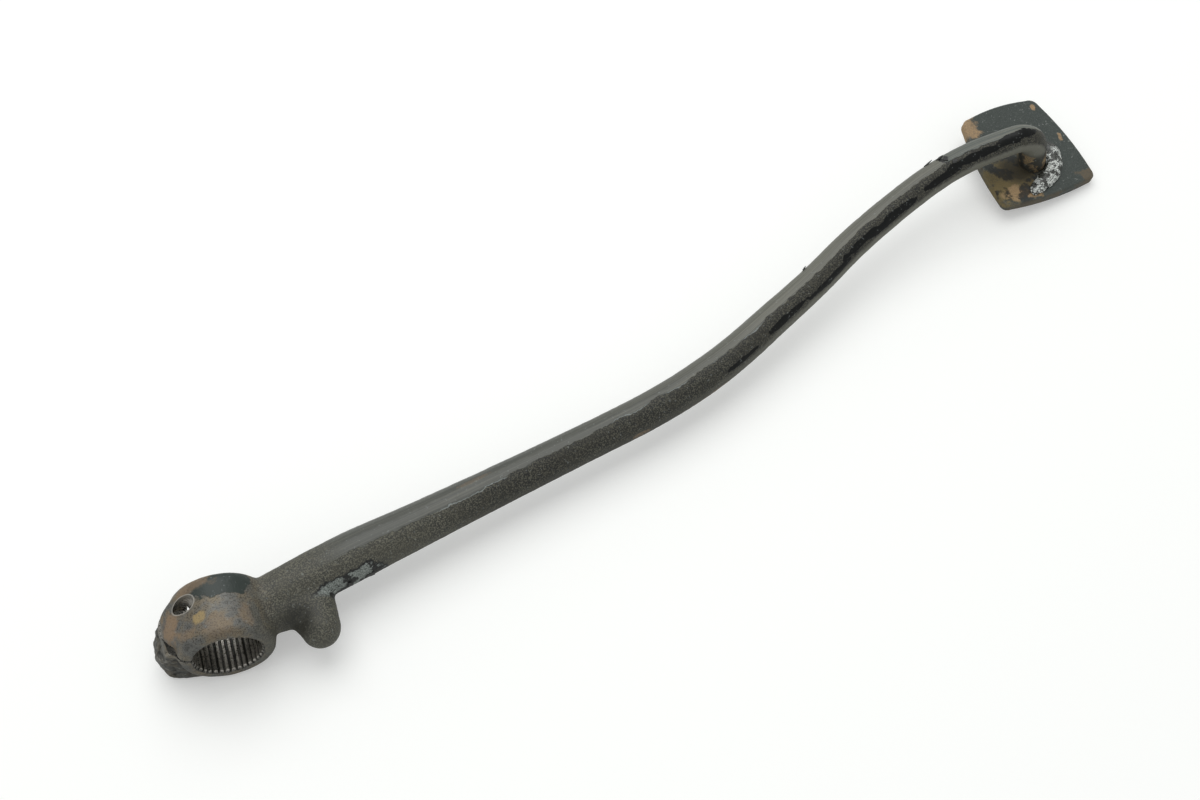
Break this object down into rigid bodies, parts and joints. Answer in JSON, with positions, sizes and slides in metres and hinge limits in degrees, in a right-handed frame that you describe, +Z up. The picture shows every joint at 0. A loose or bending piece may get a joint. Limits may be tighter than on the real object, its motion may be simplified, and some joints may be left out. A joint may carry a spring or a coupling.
{
  "type": "motorcycle brake pedal",
  "caption": "Forged motorcycle brake pedal: split clamp boss with a serrated bore, stop peg, tapered bent arm and a foot plate welded to its end.",
  "frame": {"origin": "centre of the serrated bore", "axes": "+Y along the bore, +X towards the foot plate, +Z up as the pedal rests on a table"},
  "size_m": [0.2992, 0.124, 0.0254],
  "materials": {
    "arm_paint": "worn semi-gloss black paint over forged steel, chipped and dusty",
    "plate_paint": "worn black paint with specks and rust at the corners",
    "weld_metal": "rough weld with flaking paint and rust"
  },
  "bodies": {
    "root": {"pedal_arm": "arm_paint", "foot_plate": "plate_paint", "weld_bead": "weld_metal"}
  },
  "joints": []
}
